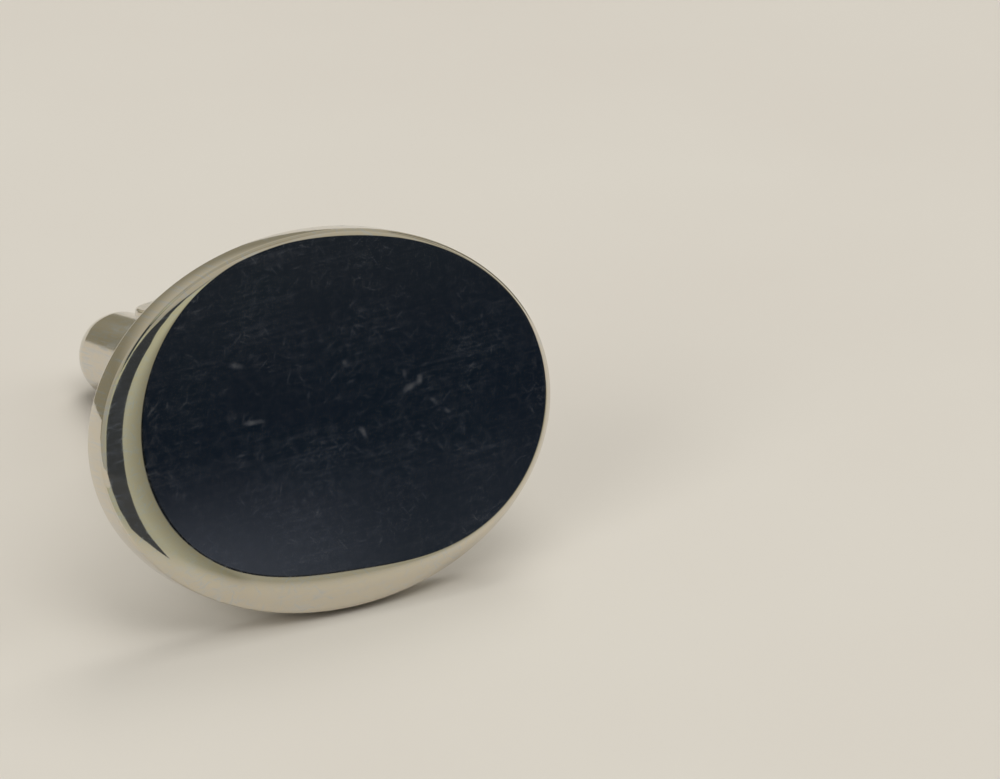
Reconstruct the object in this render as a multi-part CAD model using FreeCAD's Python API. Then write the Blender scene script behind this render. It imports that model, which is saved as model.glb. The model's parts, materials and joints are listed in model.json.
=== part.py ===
import FreeCAD, Part
import math
import os

# Plain oval cufflink with a swivelling torpedo toggle, in millimetres.
# It stands as on a table: on the long side of its rim, leaning back on the toggle's tip,
# with the toggle turned in line with the post. The face looks towards -Y and a little up.

# Oval plate
OVAL_LENGTH = 18.0
OVAL_WIDTH = 14.0
PLATE_THICKNESS = 1.9
MARGIN_WIDTH = 1.5        # polished roll-off between the flat of the face and the wall
MARGIN_SLOPE = 31.0       # degrees, how far the roll-off has turned where it meets the edge
EDGE_RADIUS = 0.15        # front edge of the wall
BACK_EDGE_RADIUS = 0.25

# Torpedo toggle
TOGGLE_DIAMETER = 3.6
TOGGLE_LENGTH = 16.3
FLAT_DEPTH = 0.45         # how deep each of the two flats is milled
FLAT_END_RADIUS = 0.6     # round nose of the cutter, left where a flat runs out past the hinge
FLAT_EDGE_RADIUS = 0.1

# Two-armed post, bent from one strip
PIVOT_DISTANCE = 13.3     # from the back of the plate to the hinge
STRIP_THICKNESS = 0.65
STRIP_WIDTH = 2.0
BEND_RADIUS = 0.5         # inside of the two bends beside the plate
HEAD_OVERHANG = 0.45      # the round heads are this much wider, each side, than the strip
NECK_BLEND_RADIUS = 1.2
STRIP_EDGE_RADIUS = 0.12

# Hinge rivet and friction washers
RIVET_DIAMETER = 1.1
RIVET_HEAD_DIAMETER = 1.8
RIVET_HEAD_HEIGHT = 0.4
WASHER_THICKNESS = 0.8
WASHER_RIM = 0.35         # the washers stay this far inside the round heads

# Clearances
RIVET_CLEARANCE = 0.03    # radial, rivet in toggle
WASHER_BORE_CLEARANCE = 0.05
SWIVEL_CLEARANCE = 0.05   # between each washer and its flat
POCKET_CLEARANCE = 0.15   # radial, round head in the end of its flat

X_AXIS = FreeCAD.Vector(1, 0, 0)
Y_AXIS = FreeCAD.Vector(0, 1, 0)
Z_AXIS = FreeCAD.Vector(0, 0, 1)
ORIGIN = FreeCAD.Vector(0, 0, 0)

# The pieces are drawn upright: x along the oval, y from the face towards the toggle, z up.
half_length = OVAL_LENGTH / 2
half_width = OVAL_WIDTH / 2
margin_slope = math.radians(MARGIN_SLOPE)
edge_reach = EDGE_RADIUS * (1 - math.sin(margin_slope))
margin_radius = (MARGIN_WIDTH - edge_reach) / math.sin(margin_slope)
margin_drop = margin_radius * (1 - math.cos(margin_slope))

toggle_radius = TOGGLE_DIAMETER / 2
tip_reach = TOGGLE_LENGTH / 2 - toggle_radius
pivot_y = PLATE_THICKNESS + PIVOT_DISTANCE
pivot = FreeCAD.Vector(0, pivot_y, 0)

rivet_radius = RIVET_DIAMETER / 2
head_radius = STRIP_WIDTH / 2 + HEAD_OVERHANG
slab_half = toggle_radius - FLAT_DEPTH
flat_half_width = math.sqrt(toggle_radius ** 2 - slab_half ** 2)
pocket_radius = max(head_radius + POCKET_CLEARANCE, flat_half_width + FLAT_EDGE_RADIUS)
washer_low = slab_half + SWIVEL_CLEARANCE
strip_inner = washer_low + WASHER_THICKNESS
strip_outer = strip_inner + STRIP_THICKNESS

# Resting pose: the table touches the plate's back edge and the ball end of the toggle.
edge_to_tip = PIVOT_DISTANCE + tip_reach + BACK_EDGE_RADIUS
edge_height = half_width - BACK_EDGE_RADIUS
lean = math.atan2(edge_height, edge_to_tip) - math.asin(
    (toggle_radius - BACK_EDGE_RADIUS) / math.hypot(edge_to_tip, edge_height))
tip_y = pivot_y + tip_reach
lowest = -tip_y * math.sin(lean) - toggle_radius
rearmost = tip_y * math.cos(lean) + toggle_radius
foremost = (margin_radius * math.cos(lean)
            - (half_width - MARGIN_WIDTH) * math.sin(lean) - margin_radius)
stand = FreeCAD.Placement(
    FreeCAD.Vector(0, -(foremost + rearmost) / 2, -lowest),
    FreeCAD.Rotation(X_AXIS, -math.degrees(lean)))


def line(start, end):
    return Part.LineSegment(start, end).toShape()


def arc(start, middle, end):
    return Part.Arc(start, middle, end).toShape()


def round_bar(radius, low, high):
    """A round bar along z through the pivot, from low to high."""
    return Part.makeCylinder(radius, high - low, FreeCAD.Vector(0, pivot_y, low), Z_AXIS)


def face_plate():
    """Oval plate: flat face, rolled margin, plain wall and flat back."""
    def on_profile(reach, depth):
        return FreeCAD.Vector(half_length - MARGIN_WIDTH + reach, depth, 0)

    def on_margin(turn):
        return on_profile(margin_radius * math.sin(turn), margin_radius * (1 - math.cos(turn)))

    def on_edge(turn):
        return on_profile(
            MARGIN_WIDTH - EDGE_RADIUS * (1 - math.sin(turn)),
            margin_drop + EDGE_RADIUS * (math.cos(margin_slope) - math.cos(turn)))

    def on_back_edge(turn):
        return on_profile(
            MARGIN_WIDTH - BACK_EDGE_RADIUS * (1 - math.cos(turn)),
            PLATE_THICKNESS - BACK_EDGE_RADIUS * (1 - math.sin(turn)))

    square = math.pi / 2
    profile = Part.Wire([
        arc(on_margin(0), on_margin(margin_slope / 2), on_margin(margin_slope)),
        arc(on_edge(margin_slope), on_edge((margin_slope + square) / 2), on_edge(square)),
        line(on_edge(square), on_back_edge(0)),
        arc(on_back_edge(0), on_back_edge(square / 2), on_back_edge(square)),
    ])
    shorter, longer = sorted([Z_AXIS * half_width, X_AXIS * half_length], key=lambda end: end.Length)
    oval = Part.Ellipse(longer, shorter, ORIGIN)
    sweep = Part.BRepOffsetAPI.MakePipeShell(Part.Wire([oval.toShape()]))
    sweep.setBiNormalMode(Y_AXIS)
    sweep.add(profile)
    sweep.build()
    side = sweep.shape()
    rims = [edge for edge in side.Edges if edge.isClosed() and is_flat_in_y(edge)]
    rims.sort(key=lambda edge: edge.BoundBox.YMin)
    caps = [Part.Face(Part.Wire([rim])) for rim in (rims[0], rims[-1])]
    shell = Part.makeShell(side.Faces + caps)
    shell.sewShape()
    return Part.makeSolid(shell)


def is_flat_in_y(edge):
    return edge.BoundBox.YLength < 1e-4


def fork():
    """Strip bent to a U: a bridge on the back of the plate and two arms with round heads."""
    def in_side_view(y, z):
        return FreeCAD.Vector(-head_radius, y, z)

    def bend(start_y, half_height, radius):
        """Start, middle and end of a quarter round from the bridge into the upper arm."""
        slack = radius * (1 - math.sqrt(0.5))
        return [in_side_view(start_y, half_height - radius),
                in_side_view(start_y + slack, half_height - slack),
                in_side_view(start_y + radius, half_height)]

    bridge_y = PLATE_THICKNESS + STRIP_THICKNESS
    end_y = pivot_y + head_radius
    outer = bend(PLATE_THICKNESS, strip_outer, BEND_RADIUS + STRIP_THICKNESS)
    inner = bend(bridge_y, strip_inner, BEND_RADIUS)
    upper_half = Part.Wire([
        line(in_side_view(PLATE_THICKNESS, 0), outer[0]),
        arc(*outer),
        line(outer[2], in_side_view(end_y, strip_outer)),
        line(in_side_view(end_y, strip_outer), in_side_view(end_y, strip_inner)),
        line(in_side_view(end_y, strip_inner), inner[2]),
        arc(*reversed(inner)),
        line(inner[0], in_side_view(bridge_y, 0)),
        line(in_side_view(bridge_y, 0), in_side_view(PLATE_THICKNESS, 0)),
    ])
    upper = Part.Face(upper_half).extrude(X_AXIS * 2 * head_radius)
    bent = upper.fuse(upper.mirror(ORIGIN, Z_AXIS)).removeSplitter()
    strip = bent.common(strip_outline().extrude(Z_AXIS * 2 * strip_outer))
    strip = strip.makeFillet(STRIP_EDGE_RADIUS, [edge for edge in strip.Edges if is_long_edge(edge)])
    return strip.cut(round_bar(rivet_radius, -strip_outer, strip_outer))


def is_long_edge(edge):
    """True for the edges along the faces of the strip, not for its short edges through its thickness."""
    return edge.Length > 1.01 * STRIP_THICKNESS


def strip_outline():
    """Plan of the strip: straight sides, blended necks and a round head."""
    def in_plan(x, y):
        return FreeCAD.Vector(x, y, -strip_outer)

    half = STRIP_WIDTH / 2
    blend_x = half + NECK_BLEND_RADIUS
    blend_y = math.sqrt((head_radius + NECK_BLEND_RADIUS) ** 2 - blend_x ** 2)
    neck_y = pivot_y - blend_y
    share = head_radius / (head_radius + NECK_BLEND_RADIUS)
    meet_x = blend_x * share
    meet_y = pivot_y - blend_y * share
    turn = math.atan2(blend_y, blend_x) / 2
    blend_mid_x = blend_x - NECK_BLEND_RADIUS * math.cos(turn)
    blend_mid_y = neck_y + NECK_BLEND_RADIUS * math.sin(turn)
    outline = Part.Wire([
        line(in_plan(-half, PLATE_THICKNESS), in_plan(half, PLATE_THICKNESS)),
        line(in_plan(half, PLATE_THICKNESS), in_plan(half, neck_y)),
        arc(in_plan(half, neck_y), in_plan(blend_mid_x, blend_mid_y), in_plan(meet_x, meet_y)),
        arc(in_plan(meet_x, meet_y), in_plan(0, pivot_y + head_radius), in_plan(-meet_x, meet_y)),
        arc(in_plan(-meet_x, meet_y), in_plan(-blend_mid_x, blend_mid_y), in_plan(-half, neck_y)),
        line(in_plan(-half, neck_y), in_plan(-half, PLATE_THICKNESS)),
    ])
    return Part.Face(outline)


def hinge_rivet():
    """Round rivet through both heads, with a low dome formed on each end."""
    head = RIVET_HEAD_DIAMETER / 2
    dome_radius = (head ** 2 + RIVET_HEAD_HEIGHT ** 2) / (2 * RIVET_HEAD_HEIGHT)
    top = strip_outer + RIVET_HEAD_HEIGHT
    ball = Part.makeSphere(dome_radius, FreeCAD.Vector(0, pivot_y, top - dome_radius))
    dome = ball.common(round_bar(head, strip_outer, top))
    shank = round_bar(rivet_radius, -strip_outer, strip_outer)
    return shank.fuse([dome, dome.mirror(ORIGIN, Z_AXIS)]).removeSplitter()


def toggle_bar():
    """Torpedo with ball ends, milled flat above and below from its inner end to past the hinge."""
    def on_half(x, y):
        return pivot + FreeCAD.Vector(x, y, 0)

    slope = toggle_radius * math.sqrt(0.5)
    end = TOGGLE_LENGTH / 2
    half = Part.Wire([
        arc(on_half(0, -end), on_half(slope, -tip_reach - slope), on_half(toggle_radius, -tip_reach)),
        line(on_half(toggle_radius, -tip_reach), on_half(toggle_radius, tip_reach)),
        arc(on_half(toggle_radius, tip_reach), on_half(slope, tip_reach + slope), on_half(0, end)),
        line(on_half(0, end), on_half(0, -end)),
    ])
    bar = Part.Face(half).revolve(pivot, Y_AXIS, 360)
    flat = Part.makeBox(TOGGLE_DIAMETER, TOGGLE_LENGTH, toggle_radius,
                        FreeCAD.Vector(-toggle_radius, pivot_y - TOGGLE_LENGTH, slab_half))
    pocket = flat.fuse(flat_end()).removeSplitter()
    bar = bar.cut([pocket, pocket.mirror(ORIGIN, Z_AXIS)]).removeSplitter()
    bar = bar.makeFillet(FLAT_EDGE_RADIUS, [edge for edge in bar.Edges if is_pocket_rim(edge)])
    return bar.cut(round_bar(rivet_radius + RIVET_CLEARANCE, -toggle_radius, toggle_radius))


def flat_end():
    """Dish about the hinge that ends the upper flat: level in the middle, rising round its rim."""
    def on_dish(reach, rise):
        return pivot + FreeCAD.Vector(reach, 0, slab_half + rise)

    slack = FLAT_END_RADIUS * math.sqrt(0.5)
    rim = pocket_radius + FLAT_END_RADIUS
    half = Part.Wire([
        line(on_dish(0, 0), on_dish(pocket_radius, 0)),
        arc(on_dish(pocket_radius, 0), on_dish(pocket_radius + slack, FLAT_END_RADIUS - slack),
            on_dish(rim, FLAT_END_RADIUS)),
        line(on_dish(rim, FLAT_END_RADIUS), on_dish(rim, toggle_radius)),
        line(on_dish(rim, toggle_radius), on_dish(0, toggle_radius)),
        line(on_dish(0, toggle_radius), on_dish(0, 0)),
    ])
    return Part.Face(half).revolve(pivot, Z_AXIS, 360)


def is_pocket_rim(edge):
    """True for an edge where a flat, or the round end of a flat, runs out into the round of the bar."""
    if edge.Degenerated or edge.BoundBox.ZMin * edge.BoundBox.ZMax < 1e-3:
        return False
    is_root = edge.BoundBox.ZLength < 1e-3 and edge.CenterOfMass.y > pivot_y
    return not is_root


def friction_washer(side):
    """Ring between a flat of the toggle and a head of the fork; side is 1 above, -1 below."""
    ends = sorted((side * washer_low, side * strip_inner))
    ring = round_bar(head_radius - WASHER_RIM, *ends)
    return ring.cut(round_bar(rivet_radius + WASHER_BORE_CLEARANCE, *ends))


nodes = {
    "face_plate": face_plate(),
    "fork": fork(),
    "hinge_rivet": hinge_rivet(),
    "toggle_bar": toggle_bar(),
    "upper_washer": friction_washer(1),
    "lower_washer": friction_washer(-1),
}

os.makedirs("parts", exist_ok=True)
for name, shape in nodes.items():
    placed = shape.copy()
    placed.Placement = stand.multiply(placed.Placement)
    placed.exportStep("parts/" + name + ".step")
    print(name, "valid", placed.isValid(), "solids", len(placed.Solids), "volume", round(placed.Volume, 3))

print("lean", round(math.degrees(lean), 4))
print("pivot", [round(value, 4) for value in stand.multVec(pivot)])
print("hinge axis", [round(value, 6) for value in stand.Rotation.multVec(Z_AXIS)])
print("face centre", [round(value, 4) for value in stand.multVec(ORIGIN)])
print("face normal", [round(value, 6) for value in stand.Rotation.multVec(-Y_AXIS)])
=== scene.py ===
import bmesh
import bpy
import json
import math
from mathutils import Matrix, Vector


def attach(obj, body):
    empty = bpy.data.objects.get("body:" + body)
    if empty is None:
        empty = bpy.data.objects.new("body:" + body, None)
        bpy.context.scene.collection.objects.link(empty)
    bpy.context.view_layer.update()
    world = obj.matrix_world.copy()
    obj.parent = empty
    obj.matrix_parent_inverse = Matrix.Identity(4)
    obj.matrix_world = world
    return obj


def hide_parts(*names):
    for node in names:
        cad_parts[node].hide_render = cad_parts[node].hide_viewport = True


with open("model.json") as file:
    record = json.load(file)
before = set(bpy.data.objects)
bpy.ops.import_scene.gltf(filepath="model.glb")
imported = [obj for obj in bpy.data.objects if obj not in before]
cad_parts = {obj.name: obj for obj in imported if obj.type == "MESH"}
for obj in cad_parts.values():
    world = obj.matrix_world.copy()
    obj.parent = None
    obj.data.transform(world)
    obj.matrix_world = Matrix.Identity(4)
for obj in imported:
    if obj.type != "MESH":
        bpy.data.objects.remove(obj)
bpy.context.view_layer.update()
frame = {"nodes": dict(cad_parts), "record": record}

MM = 0.001

# Sizes in millimetres, drawn upright: x along the oval, y from the face to the toggle, z up.
OVAL_HALF_LENGTH = 9.0
OVAL_HALF_WIDTH = 7.0
PLATE_THICKNESS = 1.9
MARGIN_DROP = 0.39          # how far the rolled margin falls back from the flat
MARGIN_SLOPE = math.radians(31)
FRONT_EDGE_RADIUS = 0.15
BACK_EDGE_RADIUS = 0.25

# The flat was lapped a little askew: its reach from its own centre, every 30 degrees from the right.
FLAT_CENTRE = (0.63, 0.74)
FLAT_REACH = (7.86, 7.08, 6.22, 6.04, 6.74, 7.55, 8.08, 7.88, 6.80, 6.25, 7.06, 7.87)
NARROWEST_MARGIN = 0.11

OVAL_POINTS = 288
MARGIN_STEPS = 20
EDGE_STEPS = 6

# The solder lies along the fork's bridge, which is a piece of strip.
STRIP_HALF_WIDTH = 1.0
BRIDGE_HALF_LENGTH = 1.85
SOLDER_SIZE = 0.24
SOLDER_OVERLAP = 0.12       # the solder runs in under the strip's rounded edge
SOLDER_CUT = 0.92           # the share of its size that the fillet's corner loses
SOLDER_HOLLOW = 0.14        # the bevel's profile: 0.5 is round, and less is hollow
SOLDER_STEPS = 6

# The cufflink stands on its rim and leans back; the record says where its face is.
face_mount = next(mount for mount in frame["record"]["mounts"] if mount["name"] == "front_face")
face_centre = Vector(face_mount["pos_m"])
face_normal = Vector(face_mount["axis"])
lean = math.atan2(face_normal.z, -face_normal.y)
stand = Matrix.Translation(face_centre) @ Matrix.Rotation(-lean, 4, "X")


def linear(code):
    """A linear colour with full alpha from an sRGB hex value."""
    def channel(digits):
        value = int(digits, 16) / 255
        return value / 12.92 if value <= 0.04045 else ((value + 0.055) / 1.055) ** 2.4
    return (channel(code[0:2]), channel(code[2:4]), channel(code[4:6]), 1.0)


def add(tree, kind, inputs=None, **settings):
    """Adds a shader node, sets it up and feeds its inputs with values or other nodes' outputs."""
    node = tree.nodes.new("ShaderNode" + kind)
    for name, value in settings.items():
        setattr(node, name, value)
    for key, value in (inputs or {}).items():
        socket = node.inputs[key]
        if isinstance(value, bpy.types.NodeSocket):
            tree.links.new(value, socket)
        else:
            socket.default_value = value
    return node


def new_material(name):
    """An empty node material and its output node."""
    material = bpy.data.materials.new(name)
    material.use_nodes = True
    material.node_tree.nodes.clear()
    return material, add(material.node_tree, "OutputMaterial")


def dress(piece, material):
    """Gives a piece one material all over."""
    piece.data.materials.clear()
    piece.data.materials.append(material)


# Materials

SILVER = "d8d0c0"
GREASE_FILM = "d0d0ce"
TARNISH = "8a7f6e"

# Sizes of the marks on the polish, in millimetres
FILM_PATCH = 3.0
FILM_GRAIN = 0.32
STREAK_WIDTH = 0.1
STREAK_DEPTH = 2.5
RUB_DEPTH = 0.3
TARNISH_REACH = 0.5

# Scuffs by their direction: turn in degrees and length in millimetres.
SCUFFS = ((-72, 0.6), (-38, 0.8), (-9, 0.7), (27, 0.6), (58, 0.8))

# How much light each kind of mark scatters, as a share of what falls on it
POLISH_HAZE = 0.001
FILM_HAZE = 0.02
SCUFF_HAZE = 0.048
WIPING_HAZE = 0.016
RUB_HAZE = 0.15

# Rubbed spots on the face, in millimetres: x, z, half length, half width, turn in degrees, strength.
RUBS = (
    (3.1, 0.75, 0.42, 0.16, 20, 1.0),
    (3.52, 0.95, 0.26, 0.14, 75, 1.0),
    (2.95, 1.25, 0.24, 0.1, 95, 0.7),
    (1.0, -0.5, 0.3, 0.12, -65, 0.8),
    (-3.55, 2.8, 0.36, 0.14, -13, 0.8),
    (-3.2, 0.65, 0.5, 0.12, -3, 0.9),
    (4.0, 0.05, 0.26, 0.1, -50, 0.6),
    (4.45, -0.4, 0.22, 0.12, -40, 0.6),
    (0.65, 2.1, 0.26, 0.12, -60, 0.5),
)

ROLLING_LINE_LENGTH = 2.0
ROLLING_LINE_WIDTH = 0.07

TABLE_PATCH = 30            # millimetres from one cloud in the table's tone to the next

# The point of the table, in millimetres, from which the bearings in a card's colour are counted
RIM_FOOT = (-5, -11)


def streaks(tree, upright, turn, length, width, low, high, detail=2.0):
    """Noise drawn out in one direction, in millimetres: 0 below one level of it and 1 above another."""
    laid = add(tree, "Mapping", {"Vector": upright, "Rotation": (0, math.radians(turn), 0),
                                 "Scale": (length * MM, STREAK_DEPTH * MM, width * MM)},
               vector_type="TEXTURE")
    noise = add(tree, "TexNoise", {"Vector": laid.outputs["Vector"], "Scale": 1.0, "Detail": detail})
    cut = add(tree, "MapRange", {"Value": noise.outputs["Fac"], "From Min": low, "From Max": high})
    return cut.outputs["Result"]


def spot(tree, upright, x, z, length, width, turn):
    """A soft oval spot on the face: 1 in its middle, 0 at its edge."""
    laid = add(tree, "Mapping", {"Vector": upright, "Location": (x * MM, 0, z * MM),
                                 "Rotation": (0, math.radians(-turn), 0),
                                 "Scale": (length * MM, RUB_DEPTH * MM, width * MM)},
               vector_type="TEXTURE")
    return add(tree, "TexGradient", {"Vector": laid.outputs["Vector"]},
               gradient_type="SPHERICAL").outputs["Fac"]


def total(tree, shares):
    """The sum of outputs, each times its share."""
    summed = 0.0
    for output, share in shares:
        summed = add(tree, "Math", {0: output, 1: share, 2: summed},
                     operation="MULTIPLY_ADD").outputs["Value"]
    return summed


def upright_place(tree):
    """Object coordinates turned back to the upright plate."""
    place = add(tree, "TexCoord").outputs["Object"]
    return add(tree, "Mapping", {"Vector": place, "Location": face_centre, "Rotation": (-lean, 0, 0)},
               vector_type="TEXTURE").outputs["Vector"]


def polished_silver(name, polish, wear, rubs=()):
    """Sterling silver, wheel polished to a mirror and then carried loose in a pocket: short scuffs, a
    cloudy film of finger grease and wiping streaks scatter a little light over a clear reflection, and
    hollows have tarnished. Polish is its roughness where it is clean, and wear the strength of the
    marks. Real scuffs are some hundredths of a millimetre wide and are drawn about three times coarser,
    so that they show."""
    material, output = new_material(name)
    tree = material.node_tree
    upright = upright_place(tree)
    cloud = add(tree, "TexNoise", {"Vector": upright, "Scale": 1 / (FILM_PATCH * MM), "Detail": 2.0})
    patch = add(tree, "MapRange", {"Value": cloud.outputs["Fac"], "From Min": 0.38, "From Max": 0.62,
                                   "To Min": 0.35, "To Max": 1.0}).outputs["Result"]
    mottle = add(tree, "TexNoise", {"Vector": upright, "Scale": 1 / (FILM_GRAIN * MM), "Detail": 4.0,
                                    "Roughness": 0.65})
    film = add(tree, "MapRange", {"Value": mottle.outputs["Fac"], "From Min": 0.46,
                                  "From Max": 0.74}).outputs["Result"]
    scuffs = total(tree, [(streaks(tree, upright, turn, length, STREAK_WIDTH, 0.65, 0.77, 1.0), 1.0)
                          for turn, length in SCUFFS])
    wiping = streaks(tree, upright, -3, 3.5, STREAK_WIDTH, 0.5, 0.72)
    marks = total(tree, [(film, FILM_HAZE), (scuffs, SCUFF_HAZE), (wiping, WIPING_HAZE)])
    haze = add(tree, "Math", {0: marks, 1: patch, 2: POLISH_HAZE},
               operation="MULTIPLY_ADD").outputs["Value"]
    if rubs:
        worn = total(tree, [(spot(tree, upright, *oval), strength * RUB_HAZE)
                            for *oval, strength in rubs])
        broken = add(tree, "Math", {0: worn, 1: film}, operation="MULTIPLY").outputs["Value"]
        haze = total(tree, [(haze, 1.0), (worn, 0.5), (broken, 1.0)])
    haze = add(tree, "Math", {0: haze, 1: wear}, operation="MULTIPLY").outputs["Value"]
    rough = add(tree, "MapRange", {"Value": haze, "From Max": 0.05, "To Min": polish,
                                   "To Max": polish + 0.06})
    hollow = add(tree, "AmbientOcclusion", {"Distance": TARNISH_REACH * MM}, samples=8)
    open_air = add(tree, "MapRange", {"Value": hollow.outputs["AO"], "From Min": 0.2, "From Max": 0.6})
    filmed = add(tree, "MapRange", {"Value": haze, "From Max": 0.03})
    clean = add(tree, "Mix", {"Factor": filmed.outputs["Result"], 6: linear(SILVER),
                              7: linear(GREASE_FILM)}, data_type="RGBA")
    tint = add(tree, "Mix", {"Factor": open_air.outputs["Result"], 6: linear(TARNISH),
                             7: clean.outputs[2]}, data_type="RGBA")
    metal = add(tree, "Math", {0: 1.0, 1: haze}, operation="SUBTRACT")
    shader = add(tree, "BsdfPrincipled", {"Base Color": tint.outputs[2],
                                          "Metallic": metal.outputs["Value"],
                                          "Roughness": rough.outputs["Result"]})
    tree.links.new(shader.outputs["BSDF"], output.inputs["Surface"])
    return material


def spring_steel(name):
    """Cold-rolled spring steel, blanked from strip: dull, with faint rolling lines."""
    material, output = new_material(name)
    tree = material.node_tree
    upright = upright_place(tree)
    lines = streaks(tree, upright, 8, ROLLING_LINE_LENGTH, ROLLING_LINE_WIDTH, 0.35, 0.7)
    rough = add(tree, "MapRange", {"Value": lines, "To Min": 0.28, "To Max": 0.42})
    colour = add(tree, "Mix", {"Factor": lines, 6: linear("8e8e90"), 7: linear("a8a8aa")},
                 data_type="RGBA")
    shader = add(tree, "BsdfPrincipled", {"Base Color": colour.outputs[2], "Metallic": 1.0,
                                          "Roughness": rough.outputs["Result"]})
    tree.links.new(shader.outputs["BSDF"], output.inputs["Surface"])
    return material


def glow(name, sides, bearings=None, rises=(), setting_in=None):
    """A glowing studio card that paints a reflection: it gives out its own colour, lights nothing and
    is seen only in the metal. It has one colour, or changes between two bearings, and turns to further
    colours between heights in millimetres. A lying card can set in softly along y."""
    material, output = new_material(name)
    tree = material.node_tree
    place = add(tree, "SeparateXYZ", {"Vector": add(tree, "TexCoord").outputs["Object"]})
    colour = linear(sides[0])
    if bearings:
        across = add(tree, "Math", {0: place.outputs["X"], 1: -RIM_FOOT[0] * MM}, operation="ADD")
        ahead = add(tree, "Math", {0: RIM_FOOT[1] * MM, 1: place.outputs["Y"]}, operation="SUBTRACT")
        bearing = add(tree, "Math", {0: across.outputs["Value"], 1: ahead.outputs["Value"]},
                      operation="ARCTAN2")
        turn = add(tree, "MapRange", {"Value": bearing.outputs["Value"],
                                      "From Min": math.radians(bearings[0]),
                                      "From Max": math.radians(bearings[1])})
        colour = add(tree, "Mix", {"Factor": turn.outputs["Result"], 6: linear(sides[0]),
                                   7: linear(sides[1])}, data_type="RGBA").outputs[2]
    for low, high, upper in rises:
        rise = add(tree, "MapRange", {"Value": place.outputs["Z"], "From Min": low * MM,
                                      "From Max": high * MM}, interpolation_type="SMOOTHSTEP")
        colour = add(tree, "Mix", {"Factor": rise.outputs["Result"], 6: colour, 7: linear(upper)},
                     data_type="RGBA").outputs[2]
    surface = add(tree, "Emission", {"Color": colour}).outputs["Emission"]
    if setting_in:
        far = add(tree, "MapRange", {"Value": place.outputs["Y"], "From Min": setting_in[0] * MM,
                                     "From Max": setting_in[1] * MM}, interpolation_type="SMOOTHSTEP")
        clear = add(tree, "BsdfTransparent")
        surface = add(tree, "MixShader", {"Fac": far.outputs["Result"], 1: clear.outputs["BSDF"],
                                          2: surface}).outputs["Shader"]
    tree.links.new(surface, output.inputs["Surface"])
    return material


def pale_table():
    """Smooth off-white card on a table, slightly warm and a little uneven in tone."""
    material, output = new_material("pale_table")
    tree = material.node_tree
    place = add(tree, "TexCoord").outputs["Object"]
    cloud = add(tree, "TexNoise", {"Vector": place, "Scale": 1 / (TABLE_PATCH * MM), "Detail": 3.0})
    tone = add(tree, "MapRange", {"Value": cloud.outputs["Fac"], "From Min": 0.3, "From Max": 0.7})
    colour = add(tree, "Mix", {"Factor": tone.outputs["Result"], 6: linear("d9d2c6"),
                               7: linear("dcd6ca")}, data_type="RGBA")
    shader = add(tree, "BsdfPrincipled", {"Base Color": colour.outputs[2], "Roughness": 0.8,
                                          "Specular IOR Level": 0.15})
    tree.links.new(shader.outputs["BSDF"], output.inputs["Surface"])
    return material


# Face plate

def rim_reach(angle):
    """How far the rim of the oval lies from the flat's centre, in that direction."""
    across, rise = math.cos(angle), math.sin(angle)
    x, z = FLAT_CENTRE
    square = (across / OVAL_HALF_LENGTH) ** 2 + (rise / OVAL_HALF_WIDTH) ** 2
    half_linear = x * across / OVAL_HALF_LENGTH ** 2 + z * rise / OVAL_HALF_WIDTH ** 2
    constant = (x / OVAL_HALF_LENGTH) ** 2 + (z / OVAL_HALF_WIDTH) ** 2 - 1
    return (math.sqrt(half_linear * half_linear - square * constant) - half_linear) / square


def flat_reach(angle):
    """How far the flat reaches from its centre: the measured reaches, joined by the smoothest wave."""
    count = len(FLAT_REACH)
    joined = 0.0
    for index, reach in enumerate(FLAT_REACH):
        turn = angle - 2 * math.pi * index / count
        joined += reach * (1 + 2 * sum(math.cos(wave * turn) for wave in range(1, count // 2))) / count
    return min(joined, rim_reach(angle) - NARROWEST_MARGIN)


def plate_profile():
    """Rings from the flat to the back, as (share of the margin or None, inset from the rim or None,
    depth)."""
    rings = [(0.0, None, 0.0)]
    for step in range(1, MARGIN_STEPS + 1):
        turn = MARGIN_SLOPE * step / MARGIN_STEPS
        rings.append((math.sin(turn) / math.sin(MARGIN_SLOPE), None,
                      MARGIN_DROP * (1 - math.cos(turn)) / (1 - math.cos(MARGIN_SLOPE))))
    for step in range(1, EDGE_STEPS + 1):
        turn = MARGIN_SLOPE + (math.pi / 2 - MARGIN_SLOPE) * step / EDGE_STEPS
        rings.append((None, FRONT_EDGE_RADIUS * (1 - math.sin(turn)),
                      MARGIN_DROP + FRONT_EDGE_RADIUS * (math.cos(MARGIN_SLOPE) - math.cos(turn))))
    for step in range(EDGE_STEPS + 1):
        turn = math.pi / 2 * step / EDGE_STEPS
        rings.append((None, BACK_EDGE_RADIUS * (1 - math.cos(turn)),
                      PLATE_THICKNESS - BACK_EDGE_RADIUS * (1 - math.sin(turn))))
    return rings


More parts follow.
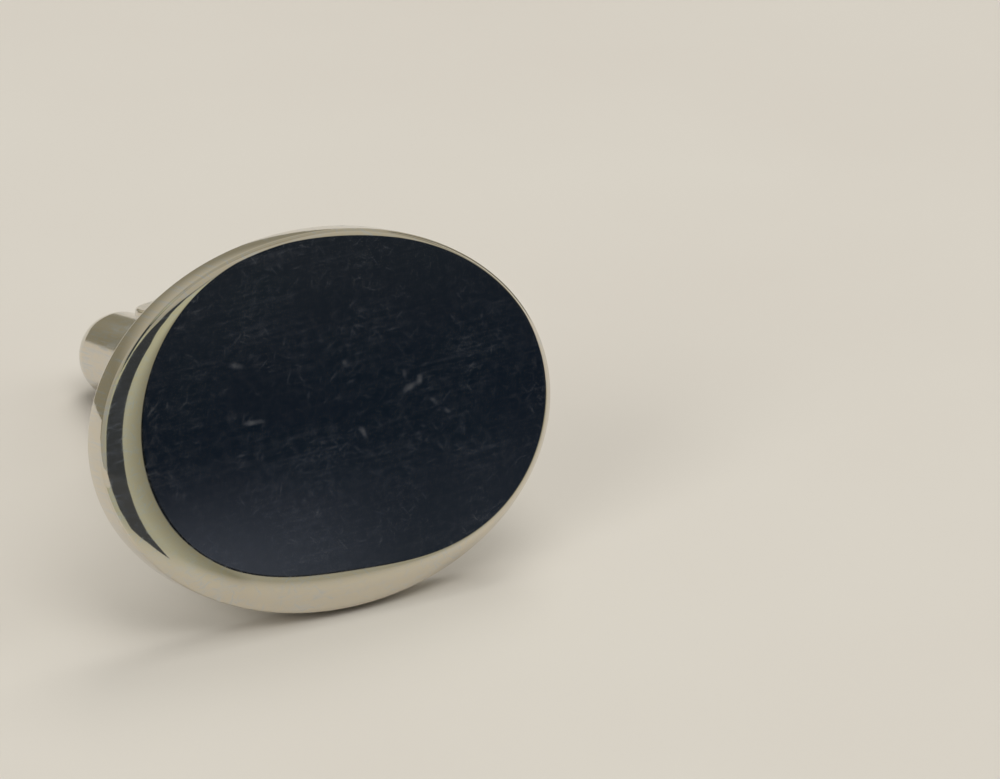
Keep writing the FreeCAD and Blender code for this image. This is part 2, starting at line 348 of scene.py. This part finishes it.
def face_plate():
    """Oval plate with its off-centre flat, rolled margin, plain wall and flat back."""
    edge_inset = FRONT_EDGE_RADIUS * (1 - math.sin(MARGIN_SLOPE))
    bpy.ops.object.select_all(action="DESELECT")
    bpy.ops.mesh.primitive_circle_add(vertices=OVAL_POINTS, radius=MM, fill_type="NGON",
                                      rotation=(math.pi / 2, 0, 0))
    piece = bpy.context.object
    piece.name = piece.data.name = "oval_face_plate"
    bpy.ops.object.transform_apply(location=False, rotation=True, scale=False)
    bpy.ops.object.mode_set(mode="EDIT")
    mesh = bmesh.from_edit_mesh(piece.data)
    flat_middle = Vector((FLAT_CENTRE[0], 0, FLAT_CENTRE[1])) * MM
    for vertex in mesh.verts:
        vertex.co += flat_middle
    for number, (share, inset, depth) in enumerate(plate_profile()):
        if number:
            bpy.ops.mesh.extrude_region_move()
            mesh = bmesh.from_edit_mesh(piece.data)
        for vertex in mesh.verts:
            if not vertex.select:
                continue
            spoke = vertex.co - flat_middle
            angle = math.atan2(spoke.z, spoke.x)
            rim = rim_reach(angle)
            if inset is None:
                first = flat_reach(angle)
                reach = first + (rim - edge_inset - first) * share
            else:
                reach = rim - inset
            place = Vector((reach * math.cos(angle), depth, reach * math.sin(angle)))
            vertex.co = flat_middle + place * MM
        bmesh.update_edit_mesh(piece.data)
    bpy.ops.mesh.select_all(action="SELECT")
    bpy.ops.mesh.normals_make_consistent(inside=False)
    bpy.ops.object.mode_set(mode="OBJECT")
    piece.data.transform(stand)
    bpy.ops.object.shade_smooth()
    weigh = piece.modifiers.new("weigh", "WEIGHTED_NORMAL")
    weigh.mode = "FACE_AREA"
    weigh.weight = 50
    bpy.ops.object.modifier_apply(modifier=weigh.name)
    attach(piece, "face_and_post")
    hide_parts("face_plate")
    return piece


def solder_seam():
    """Fillets of solder along both sides of the fork's bridge, on the back of the plate."""
    sides = []
    for side in (-1, 1):
        bpy.ops.object.select_all(action="DESELECT")
        bpy.ops.mesh.primitive_cube_add(size=MM)
        bar = bpy.context.object
        bar.scale = (SOLDER_SIZE + SOLDER_OVERLAP, SOLDER_SIZE, 2 * BRIDGE_HALF_LENGTH)
        bar.location = Vector((side * (STRIP_HALF_WIDTH + (SOLDER_SIZE - SOLDER_OVERLAP) / 2),
                               PLATE_THICKNESS + SOLDER_SIZE / 2, 0)) * MM
        bpy.ops.object.transform_apply(location=True, rotation=False, scale=True)
        bpy.ops.object.mode_set(mode="EDIT")
        bpy.ops.mesh.select_all(action="DESELECT")
        mesh = bmesh.from_edit_mesh(bar.data)
        outer = STRIP_HALF_WIDTH * MM
        raised = (PLATE_THICKNESS + SOLDER_SIZE / 2) * MM
        for edge in mesh.edges:
            edge.select_set(all(side * corner.co.x > outer and corner.co.y > raised
                                for corner in edge.verts))
        bmesh.update_edit_mesh(bar.data)
        bpy.ops.mesh.bevel(offset=SOLDER_CUT * SOLDER_SIZE * MM, segments=SOLDER_STEPS,
                           profile=SOLDER_HOLLOW, affect="EDGES")
        bpy.ops.object.mode_set(mode="OBJECT")
        sides.append(bar)
    for bar in sides:
        bar.select_set(True)
    bpy.ops.object.join()
    piece = bpy.context.object
    piece.name = piece.data.name = "solder_seam"
    piece.data.transform(stand)
    bpy.ops.object.shade_smooth_by_angle(angle=math.radians(40))
    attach(piece, "face_and_post")
    return piece


face_silver = polished_silver("mirror_polished_silver", polish=0.05, wear=1.0, rubs=RUBS)
fitting_silver = polished_silver("polished_fitting_silver", polish=0.09, wear=1.6)
washer_steel = spring_steel("spring_steel")

dress(face_plate(), face_silver)
dress(solder_seam(), fitting_silver)
for node in ("fork", "hinge_rivet", "toggle_bar"):
    dress(frame["nodes"][node], fitting_silver)
for node in ("upper_washer", "lower_washer"):
    dress(frame["nodes"][node], washer_steel)

# Stage: a pale table, and glowing cards around it that paint the reflections in the polished metal

FLOOR_HALF = 700 * MM

# Distances of the standing cards and heights of the lying ones, in millimetres
CREAM_CARD_DISTANCE = 520
DARK_CARD_DISTANCE = 500
DARK_EDGE_DISTANCE = 490
BLACK_CARD_DISTANCE = 480
FAR_CARD_DISTANCE = 150
MAT_HEIGHT = 0.02
UPPER_MAT_HEIGHT = 0.03
MAT_SETS_IN = (-12.5, -25)  # the mats before the face set in between these places along y

# Colours that the glowing cards give out: painted reflections in the metal
CREAM = "b7b8a5"
WARM_GREY = "918f7c"
PALE_GREY = "aba999"
OLIVE = "8d8876"


def lay_floor():
    """The table top, a plain sheet under the cufflink."""
    bpy.ops.object.select_all(action="DESELECT")
    bpy.ops.mesh.primitive_plane_add(size=2 * FLOOR_HALF)
    floor = bpy.context.object
    floor.name = "table_top"
    dress(floor, pale_table())


def set_card(name, points, faces, material):
    """A glowing card of the studio, a painted reflection seen only in the metal."""
    mesh = bpy.data.meshes.new(name)
    mesh.from_pydata(points, [], faces)
    card = bpy.data.objects.new(name, mesh)
    bpy.context.scene.collection.objects.link(card)
    dress(card, material)
    card.visible_camera = False
    card.visible_diffuse = False
    card.visible_shadow = False


def stand_card(name, stations, material, distance, middle):
    """A standing card around a middle, from stations of (bearing right of the face, lowest and highest
    elevation)."""
    points = []
    for bearing, lowest, highest in stations:
        for elevation in (lowest, highest):
            rise = math.tan(math.radians(elevation)) * distance * MM
            points.append((middle.x + distance * MM * math.sin(math.radians(bearing)),
                           middle.y - distance * MM * math.cos(math.radians(bearing)), middle.z + rise))
    faces = [(2 * step, 2 * step + 2, 2 * step + 3, 2 * step + 1) for step in range(len(stations) - 1)]
    set_card(name, points, faces, material)


def lay_card(name, outline, height, material):
    """A card lying flat, from its outline in millimetres."""
    points = [(x * MM, y * MM, height * MM) for x, y in outline]
    set_card(name, points, [tuple(range(len(outline)))], material)


left_margin = face_centre + Vector((-8, 0, 0)) * MM

lay_floor()

# The dark side of the room as a painted reflection: glowing dark cards, which fill the flat
stand_card("dark_reflection_card", [(15, -1, 58), (30, -1, 58), (60, -1, 58), (90, -1, 50), (120, -1, 40)],
           glow("dark_reflection_card", ("4a5161", "262e3b"), (19.5, 23.5),
                ((4, 27, "121c2a"), (27, 62, "232a34"))),
           DARK_CARD_DISTANCE, face_centre)
stand_card("dark_edge_reflection", [(15.8, -1, 30), (18.2, -1, 30)], glow("dark_edge_reflection", ("0c1012",)),
           DARK_EDGE_DISTANCE, face_centre)

# Painted reflections of the cream side and a black card before it: glowing cards, which show as bands
# in the margin on the left
stand_card("cream_reflection_card", [(-110, 60, 76), (-75, 45, 74), (-60, 40, 72), (-45, 20, 70), (-34, -1, 68),
                          (-13, -1, 62), (0, -1, 52), (10, -1, 45), (17, -1, 40)],
           glow("cream_reflection_card", (CREAM, WARM_GREY), (-11, 15), ((60, 450, "c4c5ac"),)),
           CREAM_CARD_DISTANCE, left_margin)
stand_card("black_reflection_card", [(-155, 61.5, 66), (-135, 60.5, 65), (-118, 60.5, 65.5), (-104, 60.5, 66.7),
                          (-90, 57, 65.2), (-80, 54, 63.8), (-70, 48.5, 62), (-60, 42.5, 59.7),
                          (-50, 31, 54.5), (-42, 18.5, 49.5), (-37, 9.6, 46.5), (-35.7, 5.7, 45.7),
                          (-34.8, -1, 44.5), (-28.5, -1, 40), (-23, -1, 29), (-18.5, -1, 20),
                          (-14.5, -1, 12.5), (-12.5, -1, 7.5), (-10.8, -1, 4), (-10.7, -1, 0)],
           glow("black_reflection_card", ("3c4045",)), BLACK_CARD_DISTANCE, left_margin)

# Painted reflection of the olive side behind the cufflink: a glowing card and mat, which show in the
# toggle and the wall
stand_card("far_reflection_card", [(bearing, -3, 56) for bearing in range(110, 251, 10)],
           glow("far_reflection_card", (OLIVE,), rises=((13, 46, "bfbaab"),)), FAR_CARD_DISTANCE, face_centre)
lay_card("far_reflection_mat", [(-17, 41), (-20, 50), (-26, 75), (-34, 150), (-120, 150), (-80, 80), (-50, 41)],
         MAT_HEIGHT, glow("far_reflection_mat", (OLIVE,)))

# Glowing mats before the face: painted reflections, which show in the lower margin and lead the bands
# on to the table. The grey, dark and black ones give the table a painted shade in the reflection.
lay_card("cream_reflection_mat", [(-30, -11), RIM_FOOT, (131, -520), (-160, -520)], MAT_HEIGHT,
         glow("cream_reflection_mat", (CREAM, WARM_GREY), (-11, 15), setting_in=MAT_SETS_IN))
lay_card("grey_reflection_mat", [RIM_FOOT, (40, -11), (400, -300), (400, -520), (131, -520)], MAT_HEIGHT,
         glow("grey_reflection_mat", (WARM_GREY, PALE_GREY), (15, 20), setting_in=MAT_SETS_IN))
lay_card("dark_reflection_mat", [(9.5, -56), (35, -48), (70, -30), (500, -60), (500, -510), (135, -510)],
         UPPER_MAT_HEIGHT, glow("dark_reflection_mat", ("20242c",)))
lay_card("black_reflection_mat", [(-8.3, -18.8), (-9.5, -19.7), (-10.6, -20.6), (-12.1, -21.2), (-13.9, -22.2),
                       (-16.3, -25.8), (-19.9, -30.4), (-25.7, -39.2), (-39.4, -58.6), (-94.2, -136.1),
                       (-300, -420), (-100, -500), (-53, -242), (-25.1, -101.4), (-18, -61.7),
                       (-14.6, -44), (-12.5, -34.1), (-11.2, -28), (-10, -24.3), (-9.1, -21.6)],
         UPPER_MAT_HEIGHT, glow("black_reflection_mat", ("474a4e",)))

LAMP_WHITE = "f8f8f8"


def hang_lamp(name, place, size, power):
    """A soft square lamp that looks at the cufflink, its place and size in millimetres, its power in
    watts. The metal mirrors the cards and not the lamps."""
    lamp = bpy.data.lights.new(name, "AREA")
    lamp.shape = "SQUARE"
    lamp.size = size * MM
    lamp.energy = power
    lamp.color = linear(LAMP_WHITE)[:3]
    hung = bpy.data.objects.new(name, lamp)
    bpy.context.scene.collection.objects.link(hung)
    hung.location = Vector(place) * MM
    hung.rotation_euler = (-hung.location).to_track_quat("-Z", "Y").to_euler()
    hung.visible_glossy = False


hang_lamp("overhead_light", (0, 0, 2000), 900, 7.0)
hang_lamp("front_light", (0, -1000, 1730), 900, 9.5)
hang_lamp("back_light", (700, 700, 1730), 900, 10.8)
hang_lamp("left_light", (-1470, -850, 1060), 900, 10.3)
hang_lamp("right_light", (1470, -850, 1060), 1600, 7.5)

# The room, as it is seen and mirrored, is brighter than the light that it throws on the table.
ROOM_SEEN = "b0aea2"
ROOM_LIGHT = "828282"

world = bpy.data.worlds.new("room")
bpy.context.scene.world = world
world.use_nodes = True
room = world.node_tree
ray = add(room, "LightPath")
seen = add(room, "Math", {0: ray.outputs["Is Camera Ray"], 1: ray.outputs["Is Glossy Ray"]},
           operation="MAXIMUM")
seen = add(room, "Math", {0: seen.outputs["Value"], 1: ray.outputs["Is Transmission Ray"]},
           operation="MAXIMUM")
colour = add(room, "Mix", {"Factor": seen.outputs["Value"], 6: linear(ROOM_LIGHT),
                           7: linear(ROOM_SEEN)}, data_type="RGBA")
room.links.new(colour.outputs[2], room.nodes["Background"].inputs["Color"])

# Camera, from the fit of the outlines, in the upright frame of the plate
EYE = Vector((-58.6, -141.173, 30.215)) * MM
LOOK = Vector((0.412, 0.89075, -0.19099))
ROLL = math.radians(-6.988)
LENS = 154.0
SENSOR_WIDTH = 36.0
NEAREST_SEEN = 5 * MM

camera = bpy.data.cameras.new("camera")
camera.lens = LENS
camera.sensor_width = SENSOR_WIDTH
camera.clip_start = NEAREST_SEEN
viewer = bpy.data.objects.new("camera", camera)
bpy.context.scene.collection.objects.link(viewer)
viewer.location = stand @ EYE
viewer.rotation_mode = "QUATERNION"
turned = LOOK.to_track_quat("-Z", "Y") @ Matrix.Rotation(ROLL, 3, "Z").to_quaternion()
viewer.rotation_quaternion = stand.to_quaternion() @ turned
bpy.context.scene.camera = viewer

bpy.context.scene.view_settings.view_transform = "Standard"
